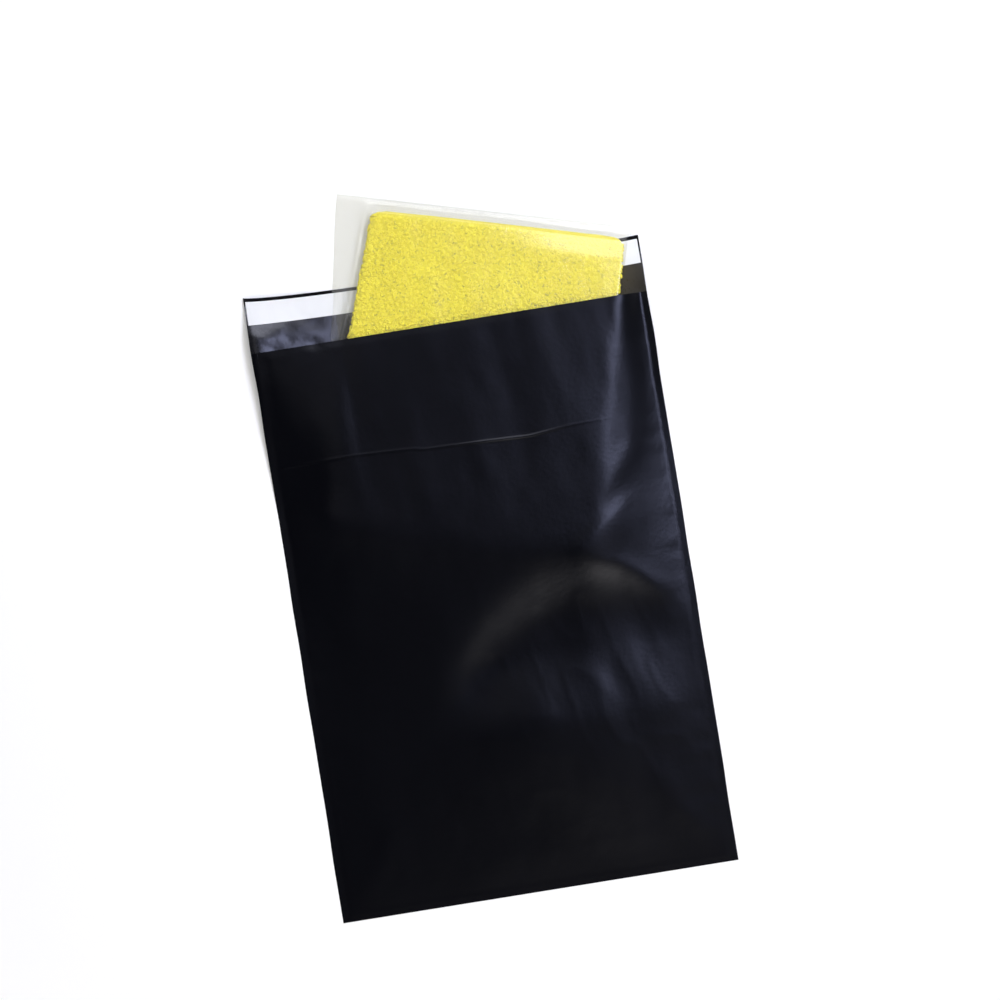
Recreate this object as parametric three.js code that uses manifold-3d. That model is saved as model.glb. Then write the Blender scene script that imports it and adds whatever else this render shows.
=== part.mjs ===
// A black poly mailer bag lying on its back, unsealed, with a folded cloth in a clear sleeve half pushed in.
// Millimetres, +Z up. X runs across the bag and Y from the bottom fold to the flap's free edge.
// The origin is on the underside of the back panel, at the middle of the film's width and length.
import * as THREE from "three";
import { mergeVertices } from "three/addons/utils/BufferGeometryUtils.js";
import Module from "manifold-3d";

// Mailer film: one sheet folded at the bottom and heat-sealed up both sides
const bagWidth = 280;
const pocketLength = 403; // bottom fold to mouth
const flapLength = 40; // how far the back panel runs on past the mouth
const filmThickness = 0.08;
const sideSealWidth = 5;
const bottomFoldWidth = 1.5;
const sealBite = 0.03; // how far the front panel melts into the back panel at a seal

// Closure on the flap: a band of glue under a peel-off liner
const linerWidth = 17;
const linerThickness = 0.09;
const linerEndInset = 1.2;
const linerEdgeMargin = 2.6; // bare film between the liner and the flap's free edge
const glueWidth = 12;
const glueThickness = 0.05;
const glueEndInset = 3;

// Folded cloth and the clear sleeve around it
const clothWidth = 182;
const clothLength = 222;
const clothThickness = 10;
const clothCornerRadius = 9;
const clothEdgeRound = 4.4; // the soft round of the folds, under half the thickness
const sleeveThickness = 0.05;
const sleeveSealWidth = 2;
const sleeveLeftMargin = 18;
const sleeveRightMargin = 3;
const sleeveTopMargin = 9;
const sleeveBottomMargin = 10;
const sleeveLip = 1.5; // how far the sleeve's open lower end gapes
const sleeveShoulderDrop = 0.7; // how far its upper film has come down at the cloth's outline

// How the packet sits in the pocket
const packetLean = THREE.MathUtils.degToRad(15.5);
const packetDepth = 186; // its lowest corner, measured down from the mouth
const packetSideRoom = 8; // least room between the packet and a side seal
const restGap = 0.3; // between soft pieces that lie on each other
const filmSlack = 0.6; // between the packet's top and the front panel
const shoulderWidth = 5.5; // how far the film stays level past the cloth's edge

// Bulge of the empty part of the pocket below the packet, with its curved rim fold
const bulgeCentre = { x: 57, fromBottom: 100 };
const bulgeRadius = 113;
const bulgeHeight = 5;
const rimHeight = 2.6;
const rimWidth = 15;
const rimStart = THREE.MathUtils.degToRad(45);
const rimEnd = THREE.MathUtils.degToRad(156);
const rimFade = THREE.MathUtils.degToRad(24);
const bulgeEdgeRun = 30; // over which the bulge dies away toward a seal
const bulgeBlend = 4; // how sharply the bulge gives way to the packet

// Mesh steps
const filmColumnStep = 9;
const filmRowStep = 9.1;
const roundSegments = 4;
const vertexSnap = 1e-4;

// Places worked out from the sizes above
const filmLength = pocketLength + flapLength;
const bottomY = -filmLength / 2;
const mouthY = bottomY + pocketLength;
const flapEdgeY = filmLength / 2;
const sealX = bagWidth / 2 - sideSealWidth; // inner edge of a side seal
const glueBase = filmThickness;
const linerBase = glueBase + glueThickness;
const sleeveBase = linerBase + linerThickness + restGap;
const clothBase = sleeveBase + sleeveThickness + restGap;
const sleeveRoof = clothBase + clothThickness + restGap; // underside of the sleeve's upper film
const filmRoof = sleeveRoof + sleeveThickness + filmSlack; // underside of the front panel over the packet

const sleeveLeft = -clothWidth / 2 - sleeveLeftMargin;
const sleeveRight = clothWidth / 2 + sleeveRightMargin;
const sleeveBottom = -clothLength / 2 - sleeveBottomMargin;
const sleeveTop = clothLength / 2 + sleeveTopMargin;

const wasm = await Module();
wasm.setup();

// Closed geometry with shared vertices, as a solid that can be joined or cut.
function solidFrom(geometry) {
  const bare = geometry.clone();
  bare.deleteAttribute("normal");
  bare.deleteAttribute("uv");
  const merged = mergeVertices(bare, vertexSnap);
  return new wasm.Manifold(
    new wasm.Mesh({
      numProp: 3,
      vertProperties: new Float32Array(merged.attributes.position.array),
      triVerts: new Uint32Array(merged.index.array),
    }),
  );
}

function geometryFrom(solid) {
  const mesh = solid.getMesh();
  const geometry = new THREE.BufferGeometry();
  geometry.setAttribute("position", new THREE.BufferAttribute(mesh.vertProperties, 3));
  geometry.setIndex(new THREE.BufferAttribute(mesh.triVerts, 1));
  geometry.computeVertexNormals();
  return geometry;
}

// Evenly spaced values from start to end, no further apart than step.
function spread(start, end, step) {
  const count = Math.max(1, Math.ceil((end - start) / step));
  return Array.from({ length: count + 1 }, (_, i) => start + ((end - start) * i) / count);
}

// A thin sheet over a grid of columns and rows, with its underside at floorAt(x, y).
function sheet(columns, rows, thickness, floorAt) {
  const across = columns.length - 1;
  const down = rows.length - 1;
  const geometry = new THREE.BoxGeometry(1, 1, 1, across, down, 1);
  const place = geometry.attributes.position;
  for (let i = 0; i < place.count; i += 1) {
    const x = columns[Math.round((place.getX(i) + 0.5) * across)];
    const y = rows[Math.round((place.getY(i) + 0.5) * down)];
    const lift = place.getZ(i) > 0 ? thickness : 0;
    place.setXYZ(i, x, y, floorAt(x, y) + lift);
  }
  return geometry;
}

// The lean at which a packet of this width, pushed in this far, spans the room between the side seals.
function leanThatSpans(width, depth, room) {
  const diagonal = Math.hypot(width, depth);
  if (room >= diagonal) return Math.PI / 2;
  return Math.atan2(depth, width) - Math.acos(room / diagonal);
}

const sleeveWidth = sleeveRight - sleeveLeft;
const pocketRoom = 2 * (sealX - packetSideRoom);
const lean = Math.max(0, Math.min(packetLean, leanThatSpans(sleeveWidth, packetDepth, pocketRoom)));

// Packet frame: its own X runs across the cloth and its own Y along it. The part in the pocket is centred
// between the side seals, and its lower right corner is the deepest point.
const insertedEdge = packetDepth / Math.cos(lean); // length of the right edge inside the pocket
const insertedSpan = sleeveWidth * Math.cos(lean) + insertedEdge * Math.sin(lean);
const deepest = new THREE.Vector2(insertedSpan / 2 - insertedEdge * Math.sin(lean), mouthY - packetDepth);
const packetCentre = new THREE.Vector2(sleeveRight, sleeveBottom)
  .rotateAround(new THREE.Vector2(), -lean)
  .negate()
  .add(deepest);

const packet = new THREE.Group();
packet.position.set(packetCentre.x, packetCentre.y, 0);
packet.rotation.z = -lean;

function inPacket(x, y) {
  return new THREE.Vector2(x, y).sub(packetCentre).rotateAround(new THREE.Vector2(), lean);
}

// Distance outside the cloth's outline, less the shoulder that the film keeps level.
function pastShoulder(x, y) {
  const p = inPacket(x, y);
  const outX = Math.max(0, Math.abs(p.x) - clothWidth / 2 - shoulderWidth);
  const outY = Math.max(0, Math.abs(p.y) - clothLength / 2 - shoulderWidth);
  return Math.hypot(outX, outY);
}

// Distance to the nearest sealed or folded edge, blended smoothly where two are near.
function fromSeals(x, y) {
  const gaps = [x + sealX, sealX - x, y - bottomY - bottomFoldWidth];
  if (Math.min(...gaps) <= 0) return 0;
  return 1 / Math.sqrt(gaps.reduce((sum, gap) => sum + 1 / (gap * gap), 0));
}

// The film leaves a seal and reaches the packet's shoulder nearly straight, with its ends eased.
function tent(x, y) {
  const toSeal = fromSeals(x, y);
  if (toSeal === 0) return 0;
  const share = toSeal / (toSeal + pastShoulder(x, y));
  const eased = share * share * (3 - 2 * share);
  return (share + eased) / 2;
}

// Trapped air below the packet, and the fold that runs round the bulge's upper rim.
function bulge(x, y) {
  const dx = x - bulgeCentre.x;
  const dy = y - bottomY - bulgeCentre.fromBottom;
  const away = Math.hypot(dx, dy);
  const dome = bulgeHeight * Math.max(0, 1 - (away / bulgeRadius) ** 2);
  const angle = Math.atan2(dy, dx);
  const pastEnd = Math.max(0, rimStart - angle, angle - rimEnd) / rimFade;
  const rim = rimHeight * Math.exp(-(((away - bulgeRadius) / rimWidth) ** 2) - pastEnd ** 2);
  const edge = Math.min(1, fromSeals(x, y) / bulgeEdgeRun);
  return (dome + rim) * edge;
}

function frontPanelFloor(x, y) {
  if (fromSeals(x, y) === 0) return filmThickness - sealBite;
  const packetShare = pastShoulder(x, y) === 0 ? 0 : 1 - tent(x, y) ** bulgeBlend;
  return filmThickness + (filmRoof - filmThickness) * tent(x, y) + bulge(x, y) * packetShare;
}

// Mailer film: the back panel runs on as the flap, and the front panel is welded to it at the seals.
function makeFilmBag() {
  const back = new THREE.BoxGeometry(bagWidth, filmLength, filmThickness);
  back.translate(0, 0, filmThickness / 2);
  const columns = [-bagWidth / 2, ...spread(-sealX, sealX, filmColumnStep), bagWidth / 2];
  const rows = [bottomY, ...spread(bottomY + bottomFoldWidth, mouthY, filmRowStep)];
  const front = sheet(columns, rows, filmThickness, frontPanelFloor);
  return geometryFrom(solidFrom(back).add(solidFrom(front)));
}

// A flat strip along the flap, centred on the liner's middle line.
function makeFlapStrip(width, endInset, base, thickness) {
  const strip = new THREE.BoxGeometry(bagWidth - 2 * endInset, width, thickness);
  strip.translate(0, flapEdgeY - linerEdgeMargin - linerWidth / 2, base + thickness / 2);
  return strip;
}

// Clear sleeve: two films sealed on three sides, slipped over the cloth and open at its lower end.
function makeSleeve() {
  const columns = [
    sleeveLeft,
    sleeveLeft + sleeveSealWidth,
    -clothWidth / 2,
    -clothWidth / 2 + clothEdgeRound,
    clothWidth / 2 - clothEdgeRound,
    clothWidth / 2,
    sleeveRight - sleeveSealWidth,
    sleeveRight,
  ];
  const rows = [
    sleeveBottom,
    -clothLength / 2,
    -clothLength / 2 + clothEdgeRound,
    clothLength / 2 - clothEdgeRound,
    clothLength / 2,
    sleeveTop - sleeveSealWidth,
    sleeveTop,
  ];
  const sealed = sleeveBase + sleeveThickness - sealBite;
  function roof(x, y) {
    const onSeal = x <= columns[1] || x >= columns[6] || y >= sleeveTop - sleeveSealWidth;
    if (onSeal) return sealed;
    if (y === sleeveBottom) return sleeveBase + sleeveThickness + sleeveLip;
    const onOutline = Math.abs(x) === clothWidth / 2 || Math.abs(y) === clothLength / 2;
    return onOutline ? sleeveRoof - sleeveShoulderDrop : sleeveRoof;
  }
  const lower = sheet(columns, rows, sleeveThickness, () => sleeveBase);
  const upper = sheet(columns, rows, sleeveThickness, roof);
  return geometryFrom(solidFrom(lower).add(solidFrom(upper)));
}

// Folded cloth: a soft slab with rounded corners and rolled edges.
function makeCloth() {
  const halfWidth = clothWidth / 2 - clothEdgeRound;
  const halfLength = clothLength / 2 - clothEdgeRound;
  const radius = clothCornerRadius - clothEdgeRound;
  const outline = new THREE.Shape();
  outline.absarc(halfWidth - radius, halfLength - radius, radius, 0, Math.PI / 2);
  outline.absarc(radius - halfWidth, halfLength - radius, radius, Math.PI / 2, Math.PI);
  outline.absarc(radius - halfWidth, radius - halfLength, radius, Math.PI, 1.5 * Math.PI);
  outline.absarc(halfWidth - radius, radius - halfLength, radius, 1.5 * Math.PI, 2 * Math.PI);
  const slab = new THREE.ExtrudeGeometry(outline, {
    depth: clothThickness - 2 * clothEdgeRound,
    bevelThickness: clothEdgeRound,
    bevelSize: clothEdgeRound,
    bevelSegments: roundSegments,
    curveSegments: roundSegments,
  });
  slab.translate(0, 0, clothBase + clothEdgeRound);
  return slab;
}

function named(name, geometry, color, roughness) {
  const material = new THREE.MeshStandardMaterial({ color, roughness, metalness: 0 });
  const mesh = new THREE.Mesh(geometry, material);
  mesh.name = name;
  return mesh;
}

const clearFilm = named("clear_sleeve", makeSleeve(), 0xf2f2ee, 0.12);
clearFilm.material.transparent = true;
clearFilm.material.opacity = 0.25;
packet.add(clearFilm, named("folded_cloth", makeCloth(), 0xf0e651, 0.95));

const mailer = new THREE.Group();
mailer.add(
  named("film_bag", makeFilmBag(), 0x121217, 0.4),
  named("glue_strip", makeFlapStrip(glueWidth, glueEndInset, glueBase, glueThickness), 0xd8d4c4, 0.3),
  named("release_liner", makeFlapStrip(linerWidth, linerEndInset, linerBase, linerThickness), 0xf2f3f6, 0.45),
  packet,
);

export default mailer;
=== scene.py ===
import math

import bpy
import numpy as np
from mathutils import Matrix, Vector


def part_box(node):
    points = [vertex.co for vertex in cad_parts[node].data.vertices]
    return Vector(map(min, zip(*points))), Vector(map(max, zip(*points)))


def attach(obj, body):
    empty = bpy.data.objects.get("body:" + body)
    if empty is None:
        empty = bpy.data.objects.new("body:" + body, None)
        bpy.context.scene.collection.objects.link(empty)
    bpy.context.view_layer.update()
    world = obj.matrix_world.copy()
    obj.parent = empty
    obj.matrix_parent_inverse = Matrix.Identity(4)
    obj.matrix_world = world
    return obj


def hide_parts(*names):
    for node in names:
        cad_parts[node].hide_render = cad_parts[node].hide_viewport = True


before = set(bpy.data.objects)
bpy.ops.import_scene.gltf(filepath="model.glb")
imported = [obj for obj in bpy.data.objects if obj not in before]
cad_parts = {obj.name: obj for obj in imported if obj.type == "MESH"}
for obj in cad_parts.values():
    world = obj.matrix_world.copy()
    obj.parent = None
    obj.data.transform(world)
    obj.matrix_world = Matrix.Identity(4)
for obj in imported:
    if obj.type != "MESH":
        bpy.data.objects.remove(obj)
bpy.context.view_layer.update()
mm = 0.001
tiny = 1e-6
white = (1, 1, 1, 1)
print("frame loaded:", ", ".join(sorted(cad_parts)))


# Shader sockets as numbers: an expression on them adds its Math nodes
class Sock:
    def __init__(self, finish, socket):
        self.finish = finish
        self.socket = socket

    def maths(self, operation, *values):
        settings = {"operation": operation}
        return self.finish.add("ShaderNodeMath", settings, dict(enumerate(values)))

    def __add__(self, other):
        return self.maths("ADD", self, other)

    __radd__ = __add__

    def __sub__(self, other):
        return self.maths("SUBTRACT", self, other)

    def __rsub__(self, other):
        return self.maths("SUBTRACT", other, self)

    def __mul__(self, other):
        return self.maths("MULTIPLY", self, other)

    __rmul__ = __mul__

    def __truediv__(self, other):
        return self.maths("DIVIDE", self, other)

    def __rtruediv__(self, other):
        return self.maths("DIVIDE", other, self)

    def atMost(self, limit):
        return self.maths("MINIMUM", self, limit)

    def clamped(self):
        return self.maths("MAXIMUM", self.atMost(1.0), 0.0)


# The nodes of one material, or of the world
class Finish:
    def __init__(self, owner):
        owner.use_nodes = True
        self.owner = owner
        self.tree = owner.node_tree
        self.tree.nodes.clear()

    def add(self, kind, settings=None, sockets=None, out=0):
        node = self.tree.nodes.new(kind)
        for key, value in (settings or {}).items():
            if key == "stops":
                self.setStops(node.color_ramp, value)
            else:
                setattr(node, key, value)
        for key, value in (sockets or {}).items():
            if isinstance(value, Sock):
                self.tree.links.new(value.socket, node.inputs[key])
            else:
                node.inputs[key].default_value = value
        return Sock(self, node.outputs[out]) if node.outputs else None

    def setStops(self, ramp, stops):
        for element, (place, colour) in zip(ramp.elements, stops):
            element.position = place
            element.color = colour

    def place(self):
        return self.add("ShaderNodeTexCoord", out="Object")  # in metres

    def noise(self, scale, detail=2.0, stretch=(1, 1, 1)):
        spot = self.add("ShaderNodeMapping", None, {"Vector": self.place(), "Scale": stretch})
        return self.add("ShaderNodeTexNoise", None, {"Vector": spot, "Scale": scale, "Detail": detail})

    def mixColour(self, share, first, second):
        sockets = {0: share, 6: first, 7: second}  # the colour sockets of a Mix node
        return self.add("ShaderNodeMix", {"data_type": "RGBA"}, sockets, out=2)

    def bump(self, height, distance, normal=None):
        sockets = {"Height": height, "Distance": distance, "Strength": 1.0}
        if normal is not None:
            sockets["Normal"] = normal
        return self.add("ShaderNodeBump", None, sockets)

    def attribute(self, name):
        return self.add("ShaderNodeAttribute", {"attribute_name": name}, out="Fac")

    def principled(self, sockets):
        return self.add("ShaderNodeBsdfPrincipled", None, sockets)

    def blend(self, share, first, second):
        return self.add("ShaderNodeMixShader", None, {0: share, 1: first, 2: second})

    def done(self, shader, kind="ShaderNodeOutputMaterial"):
        self.add(kind, None, {"Surface": shader})
        return self.owner


def newFinish(name):
    return Finish(bpy.data.materials.new(name))


# Mesh helpers
sharpAngle = math.radians(50)


def meshPiece(name, verts, faces, materials, faceMaterial=None):
    mesh = bpy.data.meshes.new(name)
    mesh.from_pydata(np.asarray(verts, dtype=float).tolist(), [], np.asarray(faces).tolist())
    for material in materials:
        mesh.materials.append(material)
    if faceMaterial is not None:
        mesh.polygons.foreach_set("material_index", np.asarray(faceMaterial, dtype=np.int32))
    mesh.polygons.foreach_set("use_smooth", np.ones(len(mesh.polygons), dtype=bool))
    mesh.update()
    mesh.set_sharp_from_angle(angle=sharpAngle)
    piece = bpy.data.objects.new(name, mesh)
    bpy.context.scene.collection.objects.link(piece)
    return piece


def gridFaces(rows, cols):
    index = np.arange(rows * cols).reshape(rows, cols)
    corners = [index[:-1, :-1], index[:-1, 1:], index[1:, 1:], index[1:, :-1]]
    return np.stack([c.ravel() for c in corners], axis=1)


def closedSheet(top, bottom):
    # two grids of the same shape, top facing up, joined round their rim
    rows, cols = top.shape[:2]
    count = rows * cols
    upper = gridFaces(rows, cols)
    lower = upper[:, ::-1] + count
    index = np.arange(count).reshape(rows, cols)
    ring = np.concatenate([index[0, :-1], index[:-1, -1], index[-1, :0:-1], index[:0:-1, 0]])
    after = np.roll(ring, -1)
    rim = np.stack([ring + count, after + count, after, ring], axis=1)
    verts = np.concatenate([top.reshape(-1, 3), bottom.reshape(-1, 3)])
    return verts, np.concatenate([upper, lower, rim]), (len(upper), len(lower), len(rim))


def filmLayer(x, y, low, thickness):
    # a closed sheet over the points x, y, with its underside at low
    top = np.stack([x, y, low + thickness], axis=-1) * mm
    bottom = np.stack([x, y, low], axis=-1) * mm
    return closedSheet(top, bottom)


def tubeFaces(rings, sides, count=1):
    # open tubes, each of so many rings of so many points
    tube, ring, side = np.meshgrid(np.arange(count), np.arange(rings - 1), np.arange(sides), indexing="ij")
    first = (tube * rings + ring) * sides
    after = (side + 1) % sides
    return np.stack([first + side, first + after, first + sides + after, first + sides + side], axis=-1)


def joinMeshes(parts):
    verts, faces, start = [], [], 0
    for partVerts, partFaces in parts:
        verts.append(partVerts)
        faces.append(partFaces + start)
        start += len(partVerts)
    return np.concatenate(verts), np.concatenate(faces)


def storeMask(piece, name, values):
    layer = piece.data.attributes.new(name, "FLOAT", "POINT")
    layer.data.foreach_set("value", np.asarray(values, dtype=np.float32))


def stations(*stretches):
    # values along an edge: each stretch gives its start, its end and how many values it takes
    parts = [np.linspace(start, end, count)[:-1] for start, end, count in stretches]
    return np.append(np.concatenate(parts), stretches[-1][1])


# Smooth fields over the plane, in millimetres
def ease(share):
    share = np.clip(share, 0, 1)
    return share * share * (3 - 2 * share)


def rise(value, start, end):
    # eased from 0 at start to 1 at end, whichever is the larger
    return ease((value - start) / (end - start))


def hump(value, middle, width):
    return np.exp(-(((value - middle) / width) ** 2))


def slope(share, rounding=0.2):
    # an even climb from 0 to 1 with rounded ends
    return rounding * (np.logaddexp(0, share / rounding) - np.logaddexp(0, (share - 1) / rounding))


latticeCells = 96
latticeStart = 40  # keeps cell numbers above zero


def swell(x, y, size, seed, stretch=1.0):
    # soft random relief from -1 to 1, one swell per size across and size * stretch along
    lattice = np.random.default_rng(seed).uniform(-1, 1, (latticeCells + 1, latticeCells + 1))
    u, v = x / size + latticeStart, y / (size * stretch) + latticeStart
    i, j = np.floor(u).astype(int), np.floor(v).astype(int)
    fu, fv = ease(u - i), ease(v - j)
    i, j = i % latticeCells, j % latticeCells
    low = lattice[i, j] * (1 - fu) + lattice[i + 1, j] * fu
    high = lattice[i, j + 1] * (1 - fu) + lattice[i + 1, j + 1] * fu
    return low * (1 - fv) + high * fv


def relief(x, y, swells):
    # a sum of swells, each given by its height, size, seed, stretch and slant
    total = 0
    for height, size, seed, stretch, slant in swells:
        total = total + height * swell(x + slant * y, y, size, seed, stretch)
    return total


def fromLine(x, y, points):
    # signed distance (left positive) to a run of straight stretches, and the share of the way along it
    points = np.asarray(points, dtype=float)
    lengths = np.linalg.norm(np.diff(points, axis=0), axis=1)
    starts = np.concatenate([[0], np.cumsum(lengths)])
    best = np.full(np.shape(x), np.inf)
    side = np.zeros(np.shape(x))
    along = np.zeros(np.shape(x))
    for k, length in enumerate(lengths):
        ax, ay = points[k]
        tx, ty = (points[k + 1] - points[k]) / length
        t = (x - ax) * tx + (y - ay) * ty
        inside = np.clip(t, 0, length)
        away = np.hypot(x - ax - inside * tx, y - ay - inside * ty)
        cross = tx * (y - ay) - ty * (x - ax)
        nearer = away < best
        best = np.where(nearer, away, best)
        side = np.where(nearer, np.where(cross >= 0, 1.0, -1.0), side)
        along = np.where(nearer, (starts[k] + inside) / starts[-1], along)
    return best * side, along


def fold(x, y, points, height, widths, fades):
    # a rounded ridge along a line, with its own width on each side, dying away at both ends
    away, along = fromLine(x, y, points)
    reach = np.where(away >= 0, *widths)
    fadeIn, fadeOut = fades
    ends = ease(along / fadeIn) * ease((1 - along) / fadeOut)
    return height * ends * np.exp(-((away / reach) ** 2))


# Where things lie, in millimetres: x across the bag, y from the frame's origin toward the flap
bag = {
    "sealWidth": 5,
    "bottomFold": 1.5,
    "pocketLength": 403,
    "film": 0.09,
    "inside": 0.16,  # least gap between the two panels beside the seals
}
filmLow, filmHigh = (np.array(corner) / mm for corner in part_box("film_bag"))
halfWidth = filmHigh[0]
bottomY, flapEdgeY = filmLow[1], filmHigh[1]
mouthY = bottomY + bag["pocketLength"]
sealX = halfWidth - bag["sealWidth"]
filmRoof = filmHigh[2]

packet = {
    "lean": math.radians(15.5),
    "width": 182,
    "length": 222,
    "corner": 10,
    "leftMargin": 18,
    "rightMargin": 3,
    "topMargin": 9,
    "bottomMargin": 10,
    # its soft left side leans further over than the rest, in packet millimetres
    "settleLean": 0.07,
    "settleFrom": 72,
    "settleLimits": (-56, 40),
    "settleLeft": (-109, -97),
    "settleRight": (20, -80),
    "settleLow": (-50, 10),
    # it thins toward the right end of its top edge
    "sinkDepth": 5,
    "sinkFrom": 96.5,
    "sinkRun": 14.5,
    "sinkRounding": 0.12,
    "sinkSide": (-10, 70),
}
clothLow, clothHigh = (np.array(corner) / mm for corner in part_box("folded_cloth"))
packetX, packetY = (clothLow[:2] + clothHigh[:2]) / 2
leanCos, leanSin = math.cos(packet["lean"]), math.sin(packet["lean"])
packetHalf, packetReach = packet["width"] / 2, packet["length"] / 2


def toPacket(x, y):
    fromX, fromY = x - packetX, y - packetY
    return fromX * leanCos - fromY * leanSin, fromX * leanSin + fromY * leanCos


def fromPacket(px, py):
    return packetX + px * leanCos + py * leanSin, packetY - px * leanSin + py * leanCos


def settled(px, py):
    share = rise(px, *packet["settleLeft"]) * rise(px, *packet["settleRight"])
    share = share * rise(py, *packet["settleLow"])
    return px + packet["settleLean"] * np.clip(py - packet["settleFrom"], *packet["settleLimits"]) * share


def sunk(px, py):
    along = slope((py - packet["sinkFrom"]) / packet["sinkRun"], packet["sinkRounding"])
    return packet["sinkDepth"] * along * rise(px, *packet["sinkSide"])


def clothEdge(x, y):
    # signed distance from the cloth's outline, negative over the cloth
    px, py = toPacket(x, y)
    corner = packet["corner"]
    qx = np.abs(px) - packetHalf + corner
    qy = np.abs(py) - packetReach + corner
    return np.hypot(np.maximum(qx, 0), np.maximum(qy, 0)) + np.minimum(np.maximum(qx, qy), 0) - corner


# Studio: pale floor, dim ceiling, a cool window on the right, a warm lamp from the bag's lower end, and
# three small glows that each find one slope of the film
studio = {
    "floorRadius": 12,
    "floorSides": 96,
    "shadowReach": (0.45, 0.9),  # metres out, over which the lit floor runs into plain white
    "floorColours": ((0.97, 0.97, 0.97, 1), (0.94, 0.94, 0.945, 1)),
    "speck": 0.3,
    "speckScale": 30,
    "floorRoughness": 0.7,
    "lights": [
        # name, place in metres, width and height, watts, colour
        ("skylight", (0.25, 1.02, 1.15), (1.7, 0.7), 17, (0.98, 0.985, 1)),
        ("window", (0.46, 0.21, 1), (0.34, 0.34), 4.8, (0.73, 0.77, 1)),
        ("lamp", (0.42, -1.56, 1.68), (1.6, 0.5), 15, (1, 0.95, 0.82)),
        ("nearWall", (-1.10, -1.30, 0.35), (1.2, 1), 20, (1, 1, 1)),
        ("leftGlow", (-0.42, 0.32, 1.45), (0.35, 0.5), 0.35, (1, 0.97, 0.92)),
        ("sideGlow", (0.95, 0.25, 1), (0.35, 0.6), 0.5, (0.78, 0.82, 1)),
        ("lowGlow", (0.36, -0.84, 1.5), (0.95, 0.28), 1.95, (1, 0.95, 0.84)),
    ],
    # share of the way up the room, and colour there
    "room": [(0.15, (0.62, 0.62, 0.62, 1)), (0.62, (0.012, 0.012, 0.0138, 1))],
}
photoView = {
    "tilt": math.radians(9.15),  # the bag leans this far to the left in the picture
    "middle": (15.2, 53.6),  # the picture's middle, in bag millimetres
    "span": 700,  # the picture's width on the floor
    "height": 3000,
    "clipEnd": 50,  # metres
}


def floorPaint():
    paint = newFinish("floorPaint")
    speck = paint.noise(studio["speckScale"], detail=3.0)
    tone = paint.mixColour(speck * studio["speck"], *studio["floorColours"])
    lit = paint.principled({"Base Color": tone, "Roughness": studio["floorRoughness"]})
    plain = paint.add("ShaderNodeEmission", None, {"Color": white, "Strength": 1.0})
    near, far = studio["shadowReach"]
    away = paint.add("ShaderNodeVectorMath", {"operation": "LENGTH"}, {0: paint.place()}, out="Value")
    rays = ["Is Camera Ray", "Is Glossy Ray", "Is Transmission Ray"]
    seen = sum(paint.add("ShaderNodeLightPath", out=ray) for ray in rays)
    share = ((away - near) / (far - near)).clamped() * seen.clamped()
    return paint.done(paint.blend(share, lit, plain))


def buildStudio():
    turns = np.linspace(0, 2 * np.pi, studio["floorSides"], endpoint=False)
    ring = np.stack([np.cos(turns), np.sin(turns), 0 * turns], axis=1) * studio["floorRadius"]
    floor = meshPiece("floor", ring, [list(range(len(ring)))], [floorPaint()])
    scene = bpy.context.scene
    for name, place, size, watts, colour in studio["lights"]:
        data = bpy.data.lights.new(name, "AREA")
        data.shape = "RECTANGLE"
        data.size, data.size_y = size
        data.energy, data.color = watts, colour
        light = bpy.data.objects.new(name, data)
        light.location = place
        light.rotation_euler = light.location.to_track_quat("Z", "Y").to_euler()
        scene.collection.objects.link(light)
    room = Finish(bpy.data.worlds.new("studioWorld"))
    heading = room.add("ShaderNodeTexCoord", out="Generated")
    height = room.add("ShaderNodeSeparateXYZ", None, {"Vector": heading}, out="Z")
    tone = room.add("ShaderNodeValToRGB", {"stops": studio["room"]}, {"Fac": height})
    background = room.add("ShaderNodeBackground", None, {"Color": tone})
    scene.world = room.done(background, "ShaderNodeOutputWorld")
    scene.view_settings.view_transform = "Standard"
    camera = bpy.data.objects.new("camera", bpy.data.cameras.new("camera"))
    camera.data.lens = camera.data.sensor_width * photoView["height"] / photoView["span"]
    camera.data.clip_end = photoView["clipEnd"]
    camera.location = np.array([*photoView["middle"], photoView["height"]]) * mm
    camera.rotation_euler = (0, 0, -photoView["tilt"])
    scene.collection.objects.link(camera)
    scene.camera = camera
    print("studio ready")


# Black film, outer face semi-gloss and inner face glossier
filmFinish = {
    "cloudScale": 14,
    "cloudRoughness": 0.05,
    "grainScale": 1500,
    "grainStretch": (1, 0.35, 1),  # drawn out along the film
    "grainRoughness": 0.04,
    "edgeGloss": 0.16,  # how much smoother the flap's free edge is
    "ribScale": 390,  # pressed ribs of the heat seals
    "peelScale": 360,  # faint orange peel of blown film
    "peelShare": 2,
    "reliefHeight": 0.00002,
    "ior": 1.51,
    "tint": (0.82, 0.84, 1, 1),
    "outer": {
        "colours": ((0.0004, 0.0005, 0.0012, 1), (0.0007, 0.0008, 0.0018, 1)),
        "roughness": 0.3,
        "gloss": 0.25,
        "grainHeight": 0.000013,
    },
    "inner": {
        "colours": ((0.003, 0.003, 0.004, 1), (0.006, 0.006, 0.007, 1)),
        "roughness": 0.28,
        "gloss": 0.62,
        "grainHeight": 0.00002,
        "bounce": (0.055, 0.046, 0.024, 1),  # yellow light thrown back by the cloth
    },
}


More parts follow.
